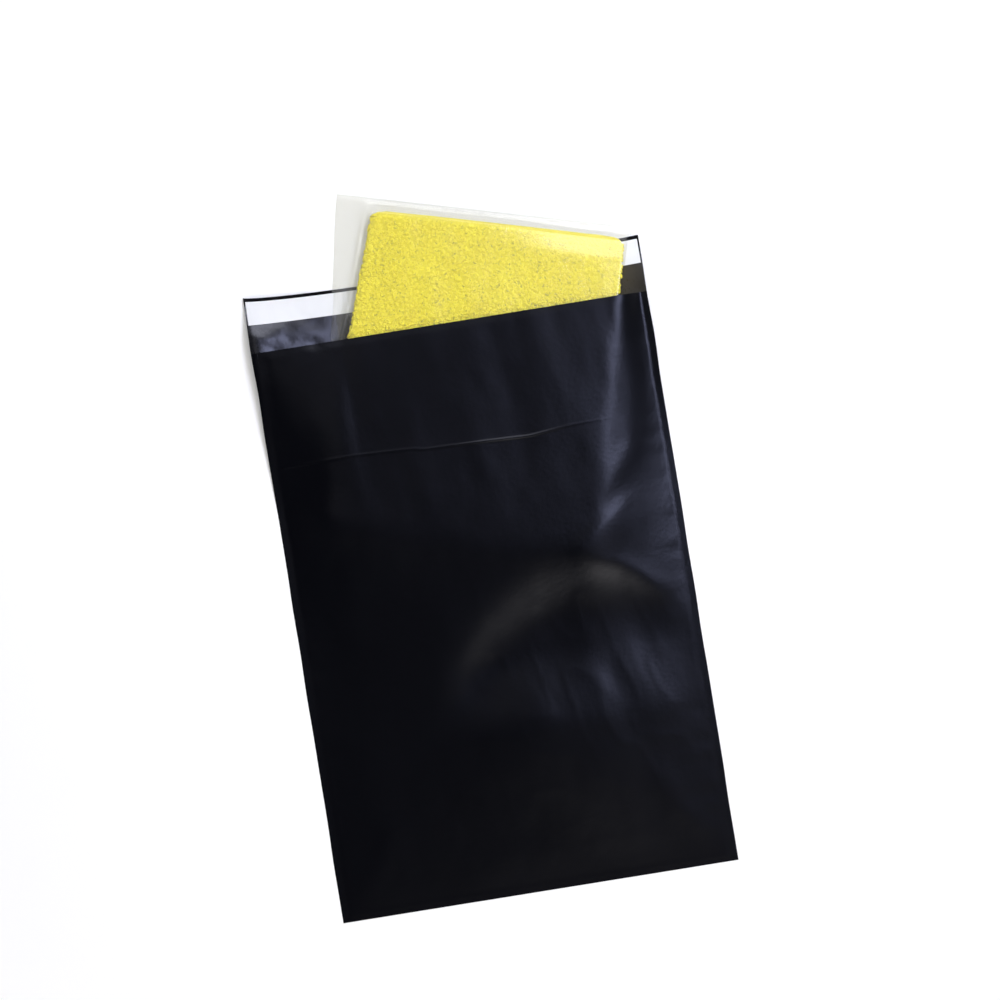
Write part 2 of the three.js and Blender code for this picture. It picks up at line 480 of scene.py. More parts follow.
def blackFilm(name, look):
    skin = newFinish(name)
    cloudy = skin.noise(filmFinish["cloudScale"], detail=4.0)
    tone = skin.mixColour(cloudy, *look["colours"])
    if "bounce" in look:
        tone = skin.mixColour(skin.attribute("nearCloth"), tone, look["bounce"])
    grain = skin.noise(filmFinish["grainScale"], stretch=filmFinish["grainStretch"])
    uneven = (cloudy - 0.5) * filmFinish["cloudRoughness"] + (grain - 0.5) * filmFinish["grainRoughness"]
    rough = look["roughness"] + uneven - skin.attribute("flapEdge") * filmFinish["edgeGloss"]
    waveSockets = {"Vector": skin.place(), "Scale": filmFinish["ribScale"]}
    ribs = skin.add("ShaderNodeTexWave", {"bands_direction": "Y"}, waveSockets, out="Fac")
    peel = skin.noise(filmFinish["peelScale"], detail=0.0)
    pressed = ribs * skin.attribute("welded") + peel * filmFinish["peelShare"]
    normal = skin.bump(grain, look["grainHeight"], skin.bump(pressed, filmFinish["reliefHeight"]))
    return skin.done(skin.principled({
        "Base Color": tone, "Roughness": rough, "Normal": normal, "IOR": filmFinish["ior"],
        "Specular IOR Level": look["gloss"], "Specular Tint": filmFinish["tint"]}))


# Mailer film. Heights up the bag are measured from its bottom fold
film = {
    "frontStep": 1.9,
    "sealColumns": 4,
    "foldRows": 3,
    "creaseRows": (312, 326),  # rows lie close together along the old cross fold
    "creaseStep": 0.55,
    "backStep": 8,
    "backColumnStep": 2.2,
    "flapFrom": 40,  # below the mouth, where the back panel's rows draw together
    "flapStep": 1.6,
    "sealBite": 0.03,
    "edgeWave": 0.35,  # how far the cut side edges stray
    "edgeWaveSize": 30,
    "edgesApart": 3,
    "edgeWavePower": 8,
    "seat": 0.12,  # of the back panel above the floor
    "sideLifts": [  # side, height, from and to across the bag, power
        (-1, 9.8, 76, 136, 1.1),
        (-1, -1.1, 133, 140, 2),  # the left seal's edge is turned down
        (1, 4.6, 110, 140, 1.5),
    ],
    "liftAlong": (-120, -2),  # measured from the mouth
    "liftEnds": (8, 40),
    "liftLost": 0.85,
    "flapLift": 0.3,
    "flapWave": [(0.3, 26, 11, 1, 0)],
    "flapWaveAlong": (0, 30),
    "flapWaveSide": (66, 96),
    "mottle": [(0.22, 7, 12, 1, 0.6), (0.1, 3.4, 13, 1, 0)],
    "mottleAlong": (-14, 0),
    "mottleLeft": (78, 94),
    "mottleRight": (121, 127),
    # front panel: a tent from the seals to the packet's shoulder
    "headroom": 0.25,
    "shoulder": 1.8,
    "softness": 3.8,
    "tentEase": 0.15,
    "freeFrom": 26,  # from a seal to where the film moves freely
    # below the packet it drops along a curved rim and lies slack
    "rimMiddle": 55,
    "rimTop": 221,
    "rimBends": (0.0066, 0.0047),
    "rimRun": 32,
    "rimRunLeft": (6, 40, -20),
    "rimLeft": (-62, -22),
    "rimSlant": 0.8,
    "rimSlantFrom": 150,
    "rimUpper": (248, 236),
    "rimLower": (108, 168),
    "rimDrop": 0.82,
    "rimDropLeft": (0.11, 35, -25),
    "rimDropRight": (0.13, 78, 108),
    "rimDropCorner": (0.26, 68, 22),  # the packet's corner still holds the film up here
    # air trapped in the lower pocket
    "airHeight": 1.5,
    "airMiddle": (35, 110),
    "airReach": (125, 120),
    # folds: line, height, widths to its left and right, share where each end dies away, run-out at seals
    "folds": [
        ([(-24, 150), (42, 66), (82, 16)], 1.35, (50, 22), (0.35, 0.55), 26),  # crest of the air
        ([(54, 223), (88, 248), (116, 268)], 1.15, (8, 20), (0.25, 0.45), 26),  # pleats at the corner
        ([(56, 227), (92, 216), (134, 184)], 1, (8, 9), (0.35, 0.4), 16),
        ([(76, 251), (112, 300), (126, 380)], 0.5, (7, 9), (0.3, 0.3), 10),
        ([(-112, 296), (-117, 350), (-120, 440)], 1.2, (13, 24), (0.4, 0.2), 9),  # left puff
        ([(64, 196), (74, 146), (88, 76)], -0.6, (11, 11), (0.45, 0.5), 1),  # dents in the slack film
        ([(84, 192), (94, 144), (110, 72)], 0.5, (26, 12), (0.4, 0.5), 26),
        ([(15, 164), (26, 138), (37, 110)], -0.15, (4.5, 5.5), (0.5, 0.5), 1),
        ([(2, 190), (14, 146), (34, 72)], 0.55, (16, 15), (0.4, 0.5), 1),
        ([(-102, 276), (-116, 250), (-130, 222)], 0.35, (6, 9), (0.4, 0.4), 12),  # tension lines
        ([(-92, 268), (-98, 220), (-110, 160)], 0.5, (12, 14), (0.4, 0.4), 26),
        ([(128, 12), (104, 44), (92, 84)], 0.6, (8, 10), (0.4, 0.4), 12),  # bottom corners
        ([(-128, 12), (-106, 40), (-88, 76)], 0.4, (8, 11), (0.4, 0.4), 12),
    ],
    "pucker": (0.32, 7.5, 7, 3),  # along the seals: height, size, reach and run-out
    "sealsApart": 400,  # puts the two seals in different swells
    "streaks": [(0.30, 15, 31, 9, 0.12)],  # drawn out over the packet
    "streaksAlong": (250, 310),
    "waves": [(0.28, 34, 32, 1.4, 0), (0.07, 9, 33, 1.6, 0)],
    "crinkles": [(1, 15, 34, 1.8, 0.3)],
    "crinkleHeights": (0.03, 0.11),  # everywhere, and added where the film is slack
    "crinklePower": 4,
    "slackLeft": (-40, 10),
    "slackLow": (30, 80),
    "slackHigh": (226, 196),
    "crossFold": [
        (-139, 321), (-80, 322), (-38, 320), (-34, 318.6), (8, 317.4), (43, 316), (72, 319), (104, 319.6)],
    "crossRidge": (0.42, 0.8),  # height and width
    "crossShoulder": (0.20, 9),
    "crossStrength": (0.5, 0.65),  # everywhere, and added at the middle
    "crossMiddle": (28, 32),
    "crossEnd": (108, 60),
    "crossRunOut": 6,
    "lip": (0.45, 5),  # the mouth's edge bends in
    "insideRunOut": 2,
    # masks
    "weldEdge": (-0.3, 0.1),
    "bounceReach": 14,
    "bounceTop": (22, 19),  # past the mouth
    "bounceSides": (0.3, 1),  # left and right
    "smoothEdge": (-12, -8),  # measured from the flap's free edge
}


def sideRamps(x):
    # the back panel's lift across the bag
    height = 0
    for side, top, start, end, power in film["sideLifts"]:
        height = height + top * np.clip((side * x - start) / (end - start), 0, 1) ** power
    return height


def backHeight(x, y):
    # flat under the packet; the seals lift beside the mouth and the flap runs down from there
    past = y - mouthY
    lifted = rise(past, *film["liftAlong"]) * (1 - film["liftLost"] * rise(past, *film["liftEnds"]))
    wave = film["flapLift"] + relief(x, y, film["flapWave"])
    wave = wave * rise(past, *film["flapWaveAlong"]) * rise(-x, *film["flapWaveSide"])
    sides = rise(-x, *film["mottleLeft"]) + rise(x, *film["mottleRight"])
    mottle = relief(x, y, film["mottle"]) * lifted * sides * rise(past, *film["mottleAlong"])
    return sideRamps(x) * lifted + wave + mottle + film["seat"]


def sealDistance(x, up):
    gaps = [np.maximum(gap, tiny) for gap in (x + sealX, sealX - x, up - bag["bottomFold"])]
    return 1 / np.sqrt(sum(1 / (gap * gap) for gap in gaps))


def tentGap(x, y, toSeal):
    soft = film["softness"]
    past = soft * np.logaddexp(0, (clothEdge(x, y) - film["shoulder"]) / soft)
    share = toSeal / (toSeal + past)
    eased = film["tentEase"]
    return (filmRoof - film["headroom"]) * ((1 - eased) * share + eased * ease(share))


def rimDrop(x, up):
    # the share of its height that the film loses below the packet
    off = x - film["rimMiddle"]
    bend = np.where(off < 0, *film["rimBends"])
    inside = (film["rimTop"] - bend * off ** 2 - up) / np.sqrt(1 + (2 * bend * off) ** 2)
    slanted = x + film["rimSlant"] * np.maximum(film["rimSlantFrom"] - up, 0)
    span = rise(slanted, *film["rimLeft"])
    span = span * rise(up, *film["rimUpper"]) * rise(up, *film["rimLower"])
    drop = film["rimDrop"]
    for share, start, end in (film["rimDropLeft"], film["rimDropRight"]):
        drop = drop + share * rise(x, start, end)
    held, middle, width = film["rimDropCorner"]
    drop = drop - held * hump(x, middle, width)
    shorter, start, end = film["rimRunLeft"]
    run = film["rimRun"] - shorter * rise(x, start, end)
    return drop * slope(inside / run) * span


def trappedAir(x, up):
    bulge = film["airHeight"]
    for value, middle, reach in zip((x, up), film["airMiddle"], film["airReach"]):
        bulge = bulge * np.clip(1 - ((value - middle) / reach) ** 2, 0, 1) ** 2
    return bulge


def crinkles(x, up):
    slack = rise(x, *film["slackLeft"]) * rise(up, *film["slackLow"]) * rise(up, *film["slackHigh"])
    least, more = film["crinkleHeights"]
    sharp = (1 - np.abs(relief(x, up, film["crinkles"]))) ** film["crinklePower"]
    return sharp * (least + more * slack)


def crossFold(x, up):
    # where the bag was once folded over
    away = fromLine(x, up, film["crossFold"])[0]
    ridge, ridgeWidth = film["crossRidge"]
    shoulder, shoulderWidth = film["crossShoulder"]
    least, more = film["crossStrength"]
    strength = (least + more * hump(x, *film["crossMiddle"])) * rise(x, *film["crossEnd"])
    return (ridge * hump(away, 0, ridgeWidth) + shoulder * np.exp(-np.abs(away) / shoulderWidth)) * strength


def frontGap(x, y):
    # height of the front panel above the back panel
    up = y - bottomY
    toSeal = sealDistance(x, up)
    free = ease(toSeal / film["freeFrom"])
    gap = tentGap(x, y, toSeal) * (1 - rimDrop(x, up))
    gap = gap + (trappedAir(x, up) + crinkles(x, up) + relief(x, up, film["waves"])) * free
    gap = gap + relief(x, up, film["streaks"]) * rise(up, *film["streaksAlong"]) * free
    for points, height, widths, fades, runOut in film["folds"]:
        gap = gap + fold(x, up, points, height, widths, fades) * ease(toSeal / runOut)
    height, size, reach, runOut = film["pucker"]
    pucker = swell(np.sign(x) * film["sealsApart"], y, size, seed=21)
    gap = gap + height * pucker * np.exp(-toSeal / reach) * ease(toSeal / runOut)
    gap = gap + crossFold(x, up) * ease(toSeal / film["crossRunOut"])
    lipDepth, lipRun = film["lip"]
    gap = gap - lipDepth * ease((up - bag["pocketLength"] + lipRun) / lipRun) * free
    return np.maximum(gap, bag["inside"] * ease(toSeal / film["insideRunOut"]))


def edgeWave(x, y):
    stray = swell(np.sign(x) * film["edgesApart"], y, film["edgeWaveSize"], seed=41)
    return film["edgeWave"] * stray * np.clip(np.abs(x) / halfWidth, 0, 1) ** film["edgeWavePower"]


def frontPanel():
    step = film["frontStep"]
    sealCount = film["sealColumns"]
    columns = stations(
        (-halfWidth, -sealX, sealCount),
        (-sealX, sealX, int(2 * sealX / step) + 1),
        (sealX, halfWidth, sealCount))
    foldTop = bottomY + bag["bottomFold"]
    creaseLow, creaseHigh = (bottomY + up for up in film["creaseRows"])
    rows = stations(
        (bottomY, foldTop, film["foldRows"]),
        (foldTop, creaseLow, int((creaseLow - bottomY) / step)),
        (creaseLow, creaseHigh, int((creaseHigh - creaseLow) / film["creaseStep"])),
        (creaseHigh, mouthY, int((mouthY - creaseHigh) / step)))
    x, y = np.meshgrid(columns, rows)
    floorAt = backHeight(x, y) + bag["film"]
    atSeal = (np.abs(x) >= sealX - tiny) | (y <= foldTop + tiny)
    low = np.where(atSeal, floorAt - film["sealBite"], floorAt + frontGap(x, y))
    return filmLayer(x + edgeWave(x, y), y, low, bag["film"])


def backPanel():
    flapFrom = mouthY - film["flapFrom"]
    rows = stations(
        (bottomY, flapFrom, int((flapFrom - bottomY) / film["backStep"])),
        (flapFrom, flapEdgeY, int((flapEdgeY - flapFrom) / film["flapStep"])))
    columns = np.linspace(-halfWidth, halfWidth, int(2 * halfWidth / film["backColumnStep"]) + 1)
    x, y = np.meshgrid(columns, rows)
    wave = edgeWave(x, y)
    y = y - flapDip(x, y)
    return filmLayer(x + wave, y, backHeight(x, y), bag["film"])


def maskFilm(piece, x, y):
    # where the film is welded, lit by the cloth, or smooth
    weldStart, weldEnd = film["weldEdge"]
    storeMask(piece, "welded", rise(np.abs(x) - sealX, weldStart, weldEnd) * (y < mouthY))
    bounceLeft, bounceRight = film["bounceSides"]
    near = np.exp(-np.maximum(clothEdge(x, y), 0) / film["bounceReach"])
    near = near * rise(y - mouthY, *film["bounceTop"])
    storeMask(piece, "nearCloth", near * np.where(x > 0, bounceRight, bounceLeft))
    storeMask(piece, "flapEdge", rise(y - flapEdgeY, *film["smoothEdge"]))


def buildFilm():
    frontVerts, frontFaces, frontCounts = frontPanel()
    backVerts, backFaces, backCounts = backPanel()
    verts, faces = joinMeshes([(frontVerts, frontFaces), (backVerts, backFaces)])
    # the front panel's underside and the back panel's top are the bag's inside
    inside = np.repeat([0, 1, 0, 1, 0, 0], [*frontCounts, *backCounts])
    outerFace = blackFilm("outerFilm", filmFinish["outer"])
    innerFace = blackFilm("innerFilm", filmFinish["inner"])
    piece = meshPiece("mailerFilm", verts, faces, [outerFace, innerFace], inside)
    maskFilm(piece, verts[:, 0] / mm, verts[:, 1] / mm)
    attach(piece, "root")
    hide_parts("film_bag")
    print("mailer film:", len(faces), "faces")


# Flap: its free edge dips a little between the corners, and the liner and glue follow it
flap = {
    "dip": 4.6,
    "dipSkew": 0.7,
    "columns": 190,
    "rows": 14,
    "linerWidth": 17,
    "linerInset": 1.2,
    "edgeMargin": 2.6,
    "glueWidth": 12,
    "glueInset": 3,
    "glue": 0.05,
    "liner": 0.10,
    "linerGap": 0.06,
    "ripple": 0.05,
    "rippleSize": 6,
    "rippleStretch": 4,
    "rippleSide": (60, 80),
    "linerColours": ((0.80, 0.81, 0.83, 1), (0.73, 0.74, 0.765, 1)),
    "linerRoughness": (0.42, 0.12),  # least, and added by the fibres
    "streakScale": 90,
    "streakStretch": (1, 0.12, 1),
    "fibreScale": 900,
    "fibreShare": 0.2,
    "linerRelief": 0.00006,
    "glueColours": ((0.70, 0.67, 0.55, 1), (0.60, 0.57, 0.46, 1)),
    "glueRoughness": (0.25, 0.2),
    "cloudScale": 220,
}


def whiteLiner():
    paper = newFinish("linerPaper")
    streaks = paper.noise(flap["streakScale"], detail=3.0, stretch=flap["streakStretch"])
    fibres = paper.noise(flap["fibreScale"], detail=3.0)
    tone = paper.mixColour(streaks, *flap["linerColours"])
    least, more = flap["linerRoughness"]
    normal = paper.bump(streaks + fibres * flap["fibreShare"], flap["linerRelief"])
    rough = least + fibres * more
    return paper.done(paper.principled({"Base Color": tone, "Roughness": rough, "Normal": normal}))


def tackyGlue():
    glue = newFinish("tackyGlue")
    cloudy = glue.noise(flap["cloudScale"], detail=3.0)
    tone = glue.mixColour(cloudy, *flap["glueColours"])
    least, more = flap["glueRoughness"]
    return glue.done(glue.principled({"Base Color": tone, "Roughness": least + cloudy * more}))


def flapDip(x, y):
    bow = np.sin(np.pi * np.clip((x + halfWidth) / (2 * halfWidth), 0, 1) ** flap["dipSkew"])
    return flap["dip"] * bow * np.clip((y - mouthY) / (flapEdgeY - mouthY), 0, 1)


def flapStrip(name, width, inset, base, thickness, material):
    middle = flapEdgeY - flap["edgeMargin"] - flap["linerWidth"] / 2
    columns = np.linspace(-halfWidth + inset, halfWidth - inset, flap["columns"])
    rows = np.linspace(middle - width / 2, middle + width / 2, flap["rows"])
    x, y = np.meshgrid(columns, rows)
    y = y - flapDip(x, y)
    low = backHeight(x, y) + bag["film"] + base
    ripple = flap["ripple"] * (1 + swell(x, y, flap["rippleSize"], seed=51, stretch=flap["rippleStretch"]))
    ripple = ripple * rise(-x, *flap["rippleSide"])
    verts, faces, _ = filmLayer(x, y, low, thickness + ripple)
    return meshPiece(name, verts, faces, [material])


def buildFlap():
    glueThick, linerWidth, linerInset = flap["glue"], flap["linerWidth"], flap["linerInset"]
    glue = flapStrip("glueBand", flap["glueWidth"], flap["glueInset"], 0.0, glueThick, tackyGlue())
    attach(glue, "root")
    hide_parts("glue_strip")
    linerBase = glueThick + flap["linerGap"]
    liner = flapStrip("peelLiner", linerWidth, linerInset, linerBase, flap["liner"], whiteLiner())
    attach(liner, "root")
    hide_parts("release_liner")
    print("flap: glue and liner")


# Folded cloth: one sheet folded in half twice, with looped pile where it shows
cloth = {
    "base": 1,  # underside of the lowest layer
    "pitch": 2.1,  # from layer to layer
    "layer": 1.8,
    "sideRoom": 1.2,  # room left for the pile at the folds
    "lowestInset": 1.5,  # of the free edges at the right, under the top layers
    "innerInset": 2.4,
    "innerFoldInset": 1,
    "hiddenStep": 7,
    "shownStep": 2.2,
    "turnPoints": (18, 12, 10),  # round the left fold, the right fold and the inner fold
    "rows": (24, 56),  # hidden and shown
    "cornerRound": 7,
    "cornerPinch": 0.92,
    "endThinning": 1.4,
    "unevenness": [(0.45, 30, 61, 1, 0)],
    "packed": 0.35,  # how far the stack is pressed together
    "sideStray": 0.5,
    "sideStraySize": 17,
    "trim": 0.9,  # how unevenly the ends of the layers lie
    "trimSize": 4,
    "trimPace": 0.35,
    "trimPower": 8,
    # the ground's colours are the pile's yellow made darker: painted shade for the gaps between the loops
    "ground": ((0.88, 0.79, 0.05, 1), (0.77, 0.67, 0.03, 1)),
    "groundRelief": 0.0002,
    "patches": (38, 0.7),  # scale, and share in the tone
    "fibres": (2600, 0.5),
    "brighter": 0.1,
    "roughness": 0.9,
    "sheen": 0.25,
    "sheenRoughness": 0.5,
}


def yellowCloth(name, colours, bumpHeight, fleck=None):
    weave = newFinish(name)
    patchScale, patchShare = cloth["patches"]
    fibreScale, fibreShare = cloth["fibres"]
    patches = weave.noise(patchScale, detail=3.0)
    fibres = weave.noise(fibreScale)
    share = patches * patchShare + fibres * fibreShare - cloth["brighter"]
    tone = weave.mixColour(share.clamped(), *colours)
    if fleck is not None:
        tone = weave.mixColour(weave.attribute("olive"), tone, fleck)
    return weave.done(weave.principled({
        "Base Color": tone, "Roughness": cloth["roughness"], "Normal": weave.bump(fibres, bumpHeight),
        "Sheen Weight": cloth["sheen"], "Sheen Roughness": cloth["sheenRoughness"]}))


def clothPath():
    # the sheet's middle line across the packet, from its lowest free edge to its inner one: x, z and normal
    half = packetHalf - cloth["sideRoom"]
    thick, pitch = cloth["layer"], cloth["pitch"]
    levels = [cloth["base"] + thick / 2 + pitch * k for k in range(4)]
    outer = (levels[3] - levels[0]) / 2
    small = pitch / 2
    leftX = -half + thick / 2 + outer
    innerX = leftX + cloth["innerFoldInset"]
    rightX = half - thick / 2 - small
    lastX = half - cloth["innerInset"]
    hidden, shown = cloth["hiddenStep"], cloth["shownStep"]
    leftPoints, rightPoints, innerPoints = cloth["turnPoints"]
    points = []

    def straight(x0, x1, z, step):
        count = max(2, int(abs(x1 - x0) / step))
        for k in range(count):
            points.append((x0 + (x1 - x0) * k / count, z))

    def turn(cx, cz, radius, start, end, count):
        for k in range(count):
            a = math.radians(start + (end - start) * k / count)
            points.append((cx + radius * math.cos(a), cz + radius * math.sin(a)))

    straight(half - cloth["lowestInset"], leftX, levels[0], hidden)
    turn(leftX, (levels[0] + levels[3]) / 2, outer, 270, 90, leftPoints)
    straight(leftX, rightX, levels[3], shown)
    turn(rightX, (levels[2] + levels[3]) / 2, small, 90, -90, rightPoints)
    straight(rightX, innerX, levels[2], hidden)
    turn(innerX, (levels[1] + levels[2]) / 2, small, 90, 270, innerPoints)
    straight(innerX, lastX, levels[1], hidden)
    points.append((lastX, levels[1]))
    path = np.array(points)
    tangent = np.gradient(path, axis=0)
    tangent /= np.linalg.norm(tangent, axis=1, keepdims=True)
    normal = np.stack([-tangent[:, 1], tangent[:, 0]], axis=1)
    return path, normal


def pathRun(path):
    # distance along the folded sheet at each point of its path
    steps = np.linalg.norm(np.diff(path, axis=0), axis=1)
    return np.concatenate([[0], np.cumsum(steps)])


def clothPoint(px, py, z):
    # soft unevenness of the folded stack, rounded corners, and its place in the bag
    cornerRound = cloth["cornerRound"]
    into = np.clip((np.abs(py) - packetReach + cornerRound) / cornerRound, 0, 1)
    pinch = cornerRound * (1 - np.sqrt(1 - cloth["cornerPinch"] * into ** 2))
    px = px * (1 - pinch / packetHalf)
    lift = (z - cloth["base"]) / (4 * cloth["pitch"])
    thinner = cloth["packed"] + cloth["endThinning"] * into ** 2 + sunk(px, py)
    z = z + lift * (relief(px, py, cloth["unevenness"]) - thinner)
    stray = cloth["sideStray"] * swell(py, 0 * py, cloth["sideStraySize"], seed=62)
    x, y = fromPacket(settled(px, py) + stray, py)
    return np.stack([x, y, z], axis=-1) * mm


def buildCloth():
    path, normal = clothPath()
    hiddenRows, shownRows = cloth["rows"]
    rows = stations((-packetReach, 0, hiddenRows), (0, packetReach, shownRows))
    level = np.arange(len(path))
    s, py = np.meshgrid(level, rows)
    trim = cloth["trim"] * swell(level * cloth["trimPace"], 0 * level, cloth["trimSize"], seed=63)
    py = py + (py / packetReach) ** cloth["trimPower"] * np.sign(py) * trim[None, :]
    half = cloth["layer"] / 2

    def face(side):
        away = side * half * normal[s]
        return clothPoint(path[s, 0] + away[..., 0], py, path[s, 1] + away[..., 1])

    verts, faces, _ = closedSheet(face(1)[:, ::-1], face(-1)[:, ::-1])
    # the folded sheet takes the darker ground colours, painted shade where it shows between the loops
    ground = yellowCloth("shadedClothGround", cloth["ground"], cloth["groundRelief"])
    base = meshPiece("foldedCloth", verts, faces, [ground])
    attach(base, "root")
    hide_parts("folded_cloth")
    piles = buildPile(path, normal) + [buildHem(path)]
    print("folded cloth:", len(faces), "faces")


# Pile: tufts of yarn loops over the cloth's outer face, on the left fold, the top layer and the right fold
pile = {
    "names": ["clothPileA", "clothPileB", "clothPileC"],
    "seed": 7,
    "height": 1.4,
    "from": 3.3,  # height on the left fold at which the pile starts
    "turnPoints": 9,  # how far round the right fold it goes, in points of the path
    "lowest": -30,  # along the packet
    "hemRoom": 3.4,
    "hemOverlap": 0.4,
    "shownPastMouth": 24,  # made this far inside the mouth
    "tuftPitch": 3.6,
    "rowPitch": 0.866,  # of the tuft pitch
    "jitter": 0.32,
    "tuftLoops": 7,
    "tuftSpread": 0.72,
    "tuftLift": (0.6, 1.1),
    "loopLift": (0.85, 1.05),
    "loopSpan": (0.75, 1.25),
    "loopRadius": 0.43,
    "loopThickness": (0.8, 1.2),
    "loopBead": (0.8, 0.35),  # at its feet, and added at its top
    "loopPower": 0.8,
    "loopRoot": 0.25,
    "leanShare": 0.5,
    "leanSize": 6,
    "leanDown": 0.25,
    "rings": 6,
    "sides": 5,
    "colours": ((0.96, 0.88, 0.055, 1), (0.87, 0.75, 0.03, 1)),
    "relief": 0.0001,
    "fleck": (0.52, 0.47, 0.04, 1),
    "fleckShare": 0.07,
    "fleckStrength": (0.5, 1),
}


def tuftPlaces(path, run, low, high, rng):
    # s along the folded sheet, t along the packet, and the lift of every loop that shows
    pitch = pile["tuftPitch"]
    top = packetReach - pile["hemRoom"]
    columns = np.arange(low, high, pitch)
    rows = np.arange(pile["lowest"], top, pitch * pile["rowPitch"])
    s, t = np.meshgrid(columns, rows)
    s[1::2] += pitch / 2
    s, t = s.ravel(), t.ravel()
    jitter = pile["jitter"]
    s = s + rng.uniform(-jitter, jitter, s.shape) * pitch
    t = t + rng.uniform(-jitter, jitter, t.shape) * pitch
    perTuft = pile["tuftLoops"]
    lift = np.repeat(rng.uniform(*pile["tuftLift"], s.shape), perTuft)
    s, t = np.repeat(s, perTuft), np.repeat(t, perTuft)
    s = s + rng.normal(0, pile["tuftSpread"], s.shape)
    t = t + rng.normal(0, pile["tuftSpread"], t.shape)
    s = np.clip(s, low, high)
    t = np.minimum(t, top + pile["hemOverlap"])
    _, y = fromPacket(np.interp(s, run, path[:, 0]), t)
    shown = y > mouthY - pile["shownPastMouth"]
    return s[shown], t[shown], lift[shown]


def yarnLoops(s, t, lift, rng):
    # bent tubes of yarn: s, t and height above the cloth for every loop, ring and side
    count = len(s)
    rings, sides = pile["rings"], pile["sides"]
    turnBy = rng.uniform(0, 2 * np.pi, count)
    span = rng.uniform(*pile["loopSpan"], count)
    height = pile["height"] * lift * rng.uniform(*pile["loopLift"], count)
    leanS = pile["leanShare"] * swell(s, t, pile["leanSize"], seed=72)
    leanT = pile["leanShare"] * swell(s, t, pile["leanSize"], seed=73) - pile["leanDown"]
    arc = np.linspace(0, np.pi, rings)
    centre = np.empty((count, rings, 3))
    for k, a in enumerate(arc):
        out = -np.cos(a) * span
        up = np.sin(a) ** pile["loopPower"] * height
        centre[:, k, 0] = s + out * np.cos(turnBy) + leanS * up
        centre[:, k, 1] = t + out * np.sin(turnBy) + leanT * up
        centre[:, k, 2] = up - pile["loopRoot"]
    ahead = np.gradient(centre, axis=1)
    ahead /= np.linalg.norm(ahead, axis=2, keepdims=True)
    across = np.stack([-np.sin(turnBy), np.cos(turnBy), 0 * turnBy], axis=1)
    across = across[:, None, :].repeat(rings, axis=1)
    over = np.cross(ahead, across)
    thick = pile["loopRadius"] * rng.uniform(*pile["loopThickness"], count)
    foot, more = pile["loopBead"]
    reach = thick[:, None, None] * (foot + more * np.sin(arc))[None, :, None]
    angles = [2 * np.pi * k / sides for k in range(sides)]
    ring = [centre + (across * math.cos(a) + over * math.sin(a)) * reach for a in angles]
    return np.stack(ring, axis=2)


def buildPile(path, normal):
    rng = np.random.default_rng(pile["seed"])
    run = pathRun(path)
    low = run[np.argmax(path[:, 1] > pile["from"])]
    lastTop = np.where(path[:, 1] > path[:, 1].max() - tiny)[0][-1]
    high = run[lastTop + pile["turnPoints"]]
    s, t, lift = tuftPlaces(path, run, low, high, rng)
    count = len(s)
    loops = yarnLoops(s, t, lift, rng)
    along = loops[..., 0]
    above = cloth["layer"] / 2 + loops[..., 2]
    outX, outZ = np.interp(along, run, normal[:, 0]), np.interp(along, run, normal[:, 1])
    facing = np.sign(np.interp((low + high) / 2, run, normal[:, 1]))
    above = above * facing / np.hypot(outX, outZ)
    px = np.interp(along, run, path[:, 0]) + outX * above
    pz = np.interp(along, run, path[:, 1]) + outZ * above
    verts = clothPoint(px, loops[..., 1], pz)
    rings, sides = pile["rings"], pile["sides"]
    quads = tubeFaces(rings, sides, count)
    yarn = yellowCloth("clothPile", pile["colours"], pile["relief"], pile["fleck"])
    flecked = rng.uniform(0, 1, count) < pile["fleckShare"]
    olive = np.where(flecked, rng.uniform(*pile["fleckStrength"], count), 0.0)
    parts = np.array_split(np.arange(count), len(pile["names"]))
    piles = []
    for name, chosen in zip(pile["names"], parts):
        faces = quads[chosen].reshape(-1, 4)
        faces = faces - faces.min()
        piece = meshPiece(name, verts[chosen].reshape(-1, 3), faces, [yarn])
        storeMask(piece, "olive", np.repeat(olive[chosen], rings * sides))
        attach(piece, "root")
        piles.append(piece)
    print("pile:", count, "loops")
    return piles


# Hem: the overlocked edge along the top end of every layer, a cord with slanting stitches
hem = {
    "radius": 0.92,
    "sides": 10,
    "step": 0.32,
    "endInset": 0.6,
    "edgeInset": 1.3,
    "stitchPitch": 1.5,
    "stitchSlant": 0.9,
    "stitchDepth": 0.2,
    "stray": 0.25,
    "straySize": 12,
    "colours": ((0.93, 0.83, 0.10, 1), (0.82, 0.70, 0.06, 1)),
    "relief": 0.00012,
}


def buildHem(path):
    run = pathRun(path)
    inset, sides = hem["endInset"], hem["sides"]
    along = np.arange(inset, run[-1] - inset, hem["step"])
    cx, cz = np.interp(along, run, path[:, 0]), np.interp(along, run, path[:, 1])
    tangent = np.stack([np.gradient(cx), np.gradient(cz)], axis=1)
    tangent /= np.linalg.norm(tangent, axis=1, keepdims=True)
    angle = np.arange(sides) * 2 * np.pi / sides
    stitch = 2 * np.pi * along[:, None] / hem["stitchPitch"] + hem["stitchSlant"] * angle[None, :]
    radius = hem["radius"] * (1 + hem["stitchDepth"] * np.cos(stitch))
    out = radius * np.cos(angle)
    px = cx[:, None] - tangent[:, 1:] * out
    pz = cz[:, None] + tangent[:, :1] * out
    stray = hem["stray"] * swell(along, 0 * along, hem["straySize"], seed=64)[:, None]
    py = packetReach - hem["edgeInset"] + radius * np.sin(angle) + stray
    verts = clothPoint(px, py, pz)
    quads = tubeFaces(len(along), sides)
    thread = yellowCloth("hemThread", hem["colours"], hem["relief"])
    piece = meshPiece("clothHem", verts.reshape(-1, 3), quads.reshape(-1, 4), [thread])
    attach(piece, "root")
    print("hem:", len(along), "rings")
    return piece


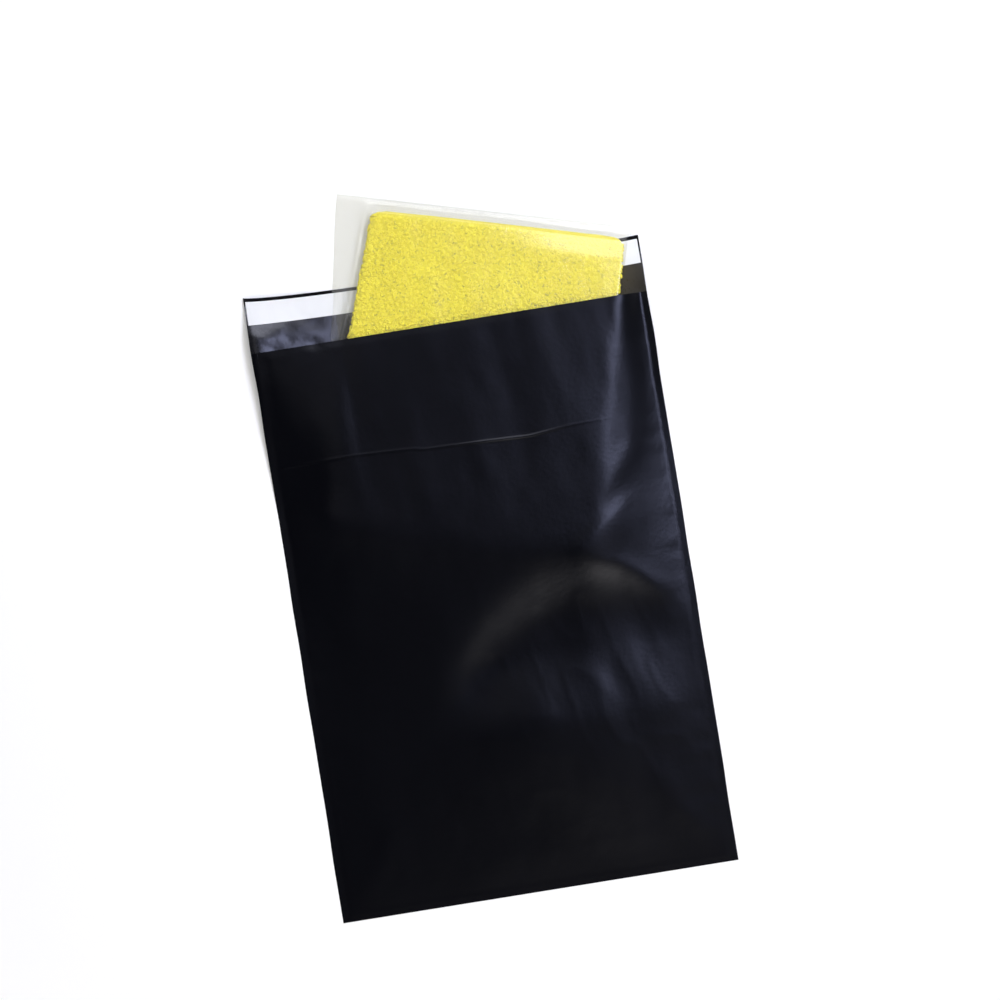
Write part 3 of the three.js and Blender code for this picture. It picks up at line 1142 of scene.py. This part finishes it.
# Clear sleeve: two films sealed at the left, right and top edges
sleeve = {
    "film": 0.06,
    "roof": 10.95,
    "floor": 0.45,
    "marginHeight": 1,  # how high the loose margins lie
    "sealWidth": 2.2,
    "sealShare": 0.6,  # of the seal's width that is pressed flat, and over which the films then part
    "sealGap": 0.02,
    # the margins' columns and rows lie close together
    "leftFine": 6,
    "rightFine": 5,
    "topFine": 6,
    "hiddenTo": 10,
    "columnCounts": (26, 12),
    "rowCounts": (30, 17),
    "columnStep": 2.72,
    "rowStep": 2.21,
    # where the roof starts to fall over each edge of the cloth, and over what length
    "fallLeft": (0.6, 2.8),
    "fallRight": (1.5, 2.6),
    "fallTop": (1.5, 3.4),
    "fallLow": (1.5, 6),
    "fallPower": 1.6,
    "ripples": [(0.2, 13, 83, 2.2, 0), (0.12, 5, 84, 2.5, 0)],
    "creases": [(0.45, 5.5, 81, 5, 0), (0.5, 11, 82, 1.6, 0.3)],
    "creaseShare": 0.9,
    "creaseLowest": -0.2,
    "creaseLeft": 6,  # run over which the margins' creases come in
    "creaseTop": 5,
    "flare": 4.5,  # the loose top corner leans out to the left
    "flareAlong": (40, 120),
    "marginRun": 4,
    "glintRoughness": 0.3,
    "ior": 1.45,
    "shine": 1.25,
    "mostShine": 0.055,
    "hazeColour": (0.80, 0.80, 0.79, 1),
    "clearColour": (0.998, 0.997, 0.984, 1),
    "haze": (0.001, 0.006, 0.009),  # everywhere, added by streaks, and added in the margins
    "streakScale": 60,
    "streakStretch": (1, 0.3, 1),
}


def clearSleeveFilm():
    skin = newFinish("clearSleeveFilm")
    streak = skin.noise(sleeve["streakScale"], detail=4.0, stretch=sleeve["streakStretch"])
    glossy = {"Color": white, "Roughness": sleeve["glintRoughness"]}
    glint = skin.add("ShaderNodeBsdfGlossy", None, glossy)
    haze = skin.add("ShaderNodeBsdfDiffuse", None, {"Color": sleeve["hazeColour"]})
    clear = skin.add("ShaderNodeBsdfTransparent", None, {"Color": sleeve["clearColour"]})
    facing = skin.add("ShaderNodeFresnel", None, {"IOR": sleeve["ior"]})
    least, streaky, atMargin = sleeve["haze"]
    hazy = (least + streak * streaky + skin.attribute("margin") * atMargin).clamped()
    shine = (facing * sleeve["shine"]).atMost(sleeve["mostShine"])
    return skin.done(skin.blend(shine, skin.blend(hazy, clear, haze), glint))


def sleeveRoof(px, py):
    # the upper film lies on the cloth and falls over its edges
    past = {
        "fallLeft": -px - packetHalf,
        "fallRight": px - packetHalf,
        "fallTop": py - packetReach,
        "fallLow": -py - packetReach,
    }
    over = {edge: np.maximum(away + sleeve[edge][0], 0) for edge, away in past.items()}
    drop = np.sqrt(sum((away / sleeve[edge][1]) ** 2 for edge, away in over.items()))
    height = np.exp(-(drop ** sleeve["fallPower"]))
    margin = ease(over["fallLeft"] / sleeve["creaseLeft"]) + ease(over["fallTop"] / sleeve["creaseTop"])
    creases = np.maximum(relief(px, py, sleeve["creases"]), sleeve["creaseLowest"])
    loose = sleeve["marginHeight"]
    roof = (sleeve["roof"] - loose - sunk(px, py)) * height + loose
    roof = roof + relief(px, py, sleeve["ripples"]) * height
    return roof + creases * np.clip(margin, 0, 1) * sleeve["creaseShare"]


def sleeveGrid(left, right, low, top):
    fineLeft, fineRight = sleeve["leftFine"] - packetHalf, packetHalf - sleeve["rightFine"]
    leftCount, rightCount = sleeve["columnCounts"]
    columns = stations(
        (left, fineLeft, leftCount),
        (fineLeft, fineRight, int((fineRight - fineLeft) / sleeve["columnStep"])),
        (fineRight, right, rightCount))
    hiddenTo, fineTop = sleeve["hiddenTo"], packetReach - sleeve["topFine"]
    lowCount, topCount = sleeve["rowCounts"]
    rows = stations(
        (low, hiddenTo, lowCount),
        (hiddenTo, fineTop, int((fineTop - hiddenTo) / sleeve["rowStep"])),
        (fineTop, top, topCount))
    return np.meshgrid(columns, rows)


def buildSleeve():
    left, right = -packetHalf - packet["leftMargin"], packetHalf + packet["rightMargin"]
    low, top = -packetReach - packet["bottomMargin"], packetReach + packet["topMargin"]
    px, py = sleeveGrid(left, right, low, top)
    pressed = sleeve["sealWidth"] * sleeve["sealShare"]
    inset = np.minimum(np.minimum(px - left, right - px), top - py)
    sealed = ease(1 - (inset - pressed) / pressed)
    floorAt = np.full(px.shape, sleeve["floor"])
    shut = floorAt + sleeve["film"] + sleeve["sealGap"]
    roof = np.maximum(shut, sleeveRoof(px, py) * (1 - sealed) + shut * sealed)
    flare = sleeve["flare"] * rise(py, *sleeve["flareAlong"])
    flare = flare * ease((-px - packetHalf) / packet["leftMargin"])
    x, y = fromPacket(settled(px, py) - flare, py)
    films = [filmLayer(x, y, height, sleeve["film"])[:2] for height in (roof, floorAt)]
    verts, faces = joinMeshes(films)
    piece = meshPiece("clearSleeve", verts, faces, [clearSleeveFilm()])
    past = np.maximum(np.maximum(np.abs(px) - packetHalf, np.abs(py) - packetReach), 0)
    margin = (ease(past / sleeve["marginRun"]) + sealed).ravel()
    storeMask(piece, "margin", np.tile(margin, len(verts) // len(margin)))
    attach(piece, "root")
    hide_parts("clear_sleeve")
    2 * (top - low) * mm
    print("clear sleeve:", len(faces), "faces")


buildStudio()
buildFilm()
buildFlap()
buildCloth()
buildSleeve()
